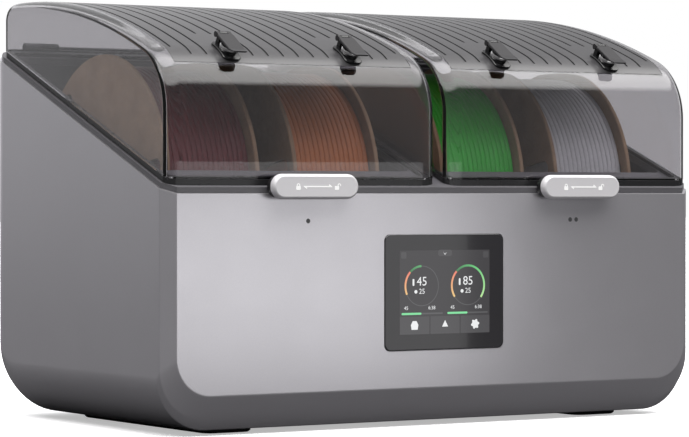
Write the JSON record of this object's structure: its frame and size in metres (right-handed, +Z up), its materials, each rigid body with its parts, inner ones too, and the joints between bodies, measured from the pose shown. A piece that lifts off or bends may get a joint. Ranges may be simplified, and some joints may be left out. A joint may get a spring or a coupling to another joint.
{
  "type": "filament dryer box",
  "caption": "Benchtop filament dryer: sloped grey housing with touch screen, twin clear tilting lids over spools on rollers, and capped filament outlets in the ribbed roof.",
  "frame": {"origin": "centre of the outline seen from above, on the table plane under the feet", "axes": "+X to the user's right, +Y from the front face to the back, +Z up"},
  "size_m": [0.457, 0.2796, 0.31],
  "materials": {
    "black_plastic": "black moulded plastic",
    "cardboard": null,
    "chamber_grey": "dark heat-resistant moulding",
    "circuit": "green circuit board with parts",
    "dark_trim": "dark grey moulded trim",
    "filament_copper": "wound filament, copper orange",
    "filament_green": "wound filament, green",
    "filament_grey": "wound filament, silver grey",
    "filament_maroon": "wound filament, maroon",
    "grey_housing": "satin metallic-grey moulded ABS with a fine grain",
    "latch_grey": "light grey moulding",
    "roller_plastic": "grey acetal",
    "rubber": "black rubber",
    "screen_glass": "black cover lens",
    "smoke_clear": "clear smoke-tinted polycarbonate",
    "smoke_panel": "dark translucent ribbed polycarbonate",
    "steel": "bare sheet steel and pins"
  },
  "bodies": {
    "box": {"air_duct_left": "black_plastic", "air_duct_right": "black_plastic", "base_plate": "steel", "chamber_left": "chamber_grey", "chamber_right": "chamber_grey", "control_board": "circuit", "deck_frame": "dark_trim", "deck_seal_left": "rubber", "deck_seal_right": "rubber", "display_panel": "screen_glass", "fan_frame_left": "black_plastic", "fan_frame_right": "black_plastic", "foot_left": "rubber", "foot_right": "rubber", "heater_left": "steel", "heater_right": "steel", "hinge_pin_left": "steel", "hinge_pin_right": "steel", "humidity_sensor_left": "latch_grey", "humidity_sensor_right": "latch_grey", "outer_shell": "grey_housing", "power_inlet": "black_plastic", "power_supply": "steel", "rear_cover": "grey_housing", "screen_bezel": "screen_glass"},
    "lid_left_body": {"lid_panel_left": "smoke_panel", "lid_rim_left": "black_plastic", "lid_shell_left": "smoke_clear", "outlet_1": "black_plastic", "outlet_2": "black_plastic"},
    "lid_right_body": {"lid_panel_right": "smoke_panel", "lid_rim_right": "black_plastic", "lid_shell_right": "smoke_clear", "outlet_3": "black_plastic", "outlet_4": "black_plastic"},
    "fan_rotor_left_body": {"fan_rotor_left": "black_plastic"},
    "fan_rotor_right_body": {"fan_rotor_right": "black_plastic"},
    "latch_slider_left_body": {"latch_slider_left": "latch_grey"},
    "latch_slider_right_body": {"latch_slider_right": "latch_grey"},
    "outlet_cap_1_body": {"outlet_cap_1": "black_plastic"},
    "outlet_cap_2_body": {"outlet_cap_2": "black_plastic"},
    "outlet_cap_3_body": {"outlet_cap_3": "black_plastic"},
    "outlet_cap_4_body": {"outlet_cap_4": "black_plastic"},
    "roller_left_1_body": {"roller_left_1": "roller_plastic"},
    "roller_left_2_body": {"roller_left_2": "roller_plastic"},
    "roller_left_3_body": {"roller_left_3": "roller_plastic"},
    "roller_left_4_body": {"roller_left_4": "roller_plastic"},
    "roller_right_1_body": {"roller_right_1": "roller_plastic"},
    "roller_right_2_body": {"roller_right_2": "roller_plastic"},
    "roller_right_3_body": {"roller_right_3": "roller_plastic"},
    "roller_right_4_body": {"roller_right_4": "roller_plastic"},
    "reel_1": {"spool_1": "cardboard", "filament_1": "filament_maroon"},
    "reel_2": {"spool_2": "cardboard", "filament_2": "filament_copper"},
    "reel_3": {"spool_3": "cardboard", "filament_3": "filament_green"},
    "reel_4": {"spool_4": "cardboard", "filament_4": "filament_grey"}
  },
  "joints": [
    {"name": "lid_left_tilt", "type": "hinge", "parent": "box", "child": "lid_left_body", "pos_m": [-0.11505, 0.13525, 0.27759], "axis": [-1, 0, 0], "range_deg": [0, 75]},
    {"name": "latch_left_slide", "type": "slide", "parent": "lid_left_body", "child": "latch_slider_left_body", "axis": [1, 0, 0], "range_m": [0, 0.008]},
    {"name": "fan_left_spin", "type": "hinge", "parent": "box", "child": "fan_rotor_left_body", "pos_m": [-0.11505, 0.011, 0.0135], "axis": [0, 0, 1], "continuous": true},
    {"name": "lid_right_tilt", "type": "hinge", "parent": "box", "child": "lid_right_body", "pos_m": [0.11505, 0.13525, 0.27759], "axis": [-1, 0, 0], "range_deg": [0, 75]},
    {"name": "latch_right_slide", "type": "slide", "parent": "lid_right_body", "child": "latch_slider_right_body", "axis": [1, 0, 0], "range_m": [0, 0.008]},
    {"name": "fan_right_spin", "type": "hinge", "parent": "box", "child": "fan_rotor_right_body", "pos_m": [0.11505, 0.011, 0.0135], "axis": [0, 0, 1], "continuous": true},
    {"name": "outlet_cap_1_flip", "type": "hinge", "parent": "lid_left_body", "child": "outlet_cap_1_body", "pos_m": [-0.16505, -0.09503, 0.27841], "axis": [-1, 0, 0], "range_deg": [0, 100]},
    {"name": "spool_1_spin", "type": "hinge", "parent": "box", "child": "reel_1", "pos_m": [-0.16555, 0.011, 0.17149], "axis": [1, 0, 0], "continuous": true},
    {"name": "outlet_cap_2_flip", "type": "hinge", "parent": "lid_left_body", "child": "outlet_cap_2_body", "pos_m": [-0.06505, -0.09503, 0.27841], "axis": [-1, 0, 0], "range_deg": [0, 100]},
    {"name": "spool_2_spin", "type": "hinge", "parent": "box", "child": "reel_2", "pos_m": [-0.06455, 0.011, 0.17149], "axis": [1, 0, 0], "continuous": true},
    {"name": "outlet_cap_3_flip", "type": "hinge", "parent": "lid_right_body", "child": "outlet_cap_3_body", "pos_m": [0.06505, -0.09503, 0.27841], "axis": [-1, 0, 0], "range_deg": [0, 100]},
    {"name": "spool_3_spin", "type": "hinge", "parent": "box", "child": "reel_3", "pos_m": [0.06455, 0.011, 0.17149], "axis": [1, 0, 0], "continuous": true},
    {"name": "outlet_cap_4_flip", "type": "hinge", "parent": "lid_right_body", "child": "outlet_cap_4_body", "pos_m": [0.16505, -0.09503, 0.27841], "axis": [-1, 0, 0], "range_deg": [0, 100]},
    {"name": "spool_4_spin", "type": "hinge", "parent": "box", "child": "reel_4", "pos_m": [0.16555, 0.011, 0.17149], "axis": [1, 0, 0], "continuous": true},
    {"name": "roller_left_1_spin", "type": "hinge", "parent": "box", "child": "roller_left_1_body", "pos_m": [-0.16555, -0.04165, 0.0803], "axis": [1, 0, 0], "continuous": true},
    {"name": "roller_left_2_spin", "type": "hinge", "parent": "box", "child": "roller_left_2_body", "pos_m": [-0.16555, 0.06365, 0.0803], "axis": [1, 0, 0], "continuous": true},
    {"name": "roller_left_3_spin", "type": "hinge", "parent": "box", "child": "roller_left_3_body", "pos_m": [-0.06455, -0.04165, 0.0803], "axis": [1, 0, 0], "continuous": true},
    {"name": "roller_left_4_spin", "type": "hinge", "parent": "box", "child": "roller_left_4_body", "pos_m": [-0.06455, 0.06365, 0.0803], "axis": [1, 0, 0], "continuous": true},
    {"name": "roller_right_1_spin", "type": "hinge", "parent": "box", "child": "roller_right_1_body", "pos_m": [0.06455, -0.04165, 0.0803], "axis": [1, 0, 0], "continuous": true},
    {"name": "roller_right_2_spin", "type": "hinge", "parent": "box", "child": "roller_right_2_body", "pos_m": [0.06455, 0.06365, 0.0803], "axis": [1, 0, 0], "continuous": true},
    {"name": "roller_right_3_spin", "type": "hinge", "parent": "box", "child": "roller_right_3_body", "pos_m": [0.16555, -0.04165, 0.0803], "axis": [1, 0, 0], "continuous": true},
    {"name": "roller_right_4_spin", "type": "hinge", "parent": "box", "child": "roller_right_4_body", "pos_m": [0.16555, 0.06365, 0.0803], "axis": [1, 0, 0], "continuous": true}
  ],
  "couplings": [
    {"joint": "roller_left_1_spin", "follows": "spool_1_spin", "ratio": -10.667},
    {"joint": "roller_left_2_spin", "follows": "spool_1_spin", "ratio": -10.667},
    {"joint": "roller_left_3_spin", "follows": "spool_2_spin", "ratio": -10.667},
    {"joint": "roller_left_4_spin", "follows": "spool_2_spin", "ratio": -10.667},
    {"joint": "roller_right_1_spin", "follows": "spool_3_spin", "ratio": -10.667},
    {"joint": "roller_right_2_spin", "follows": "spool_3_spin", "ratio": -10.667},
    {"joint": "roller_right_3_spin", "follows": "spool_4_spin", "ratio": -10.667},
    {"joint": "roller_right_4_spin", "follows": "spool_4_spin", "ratio": -10.667}
  ]
}
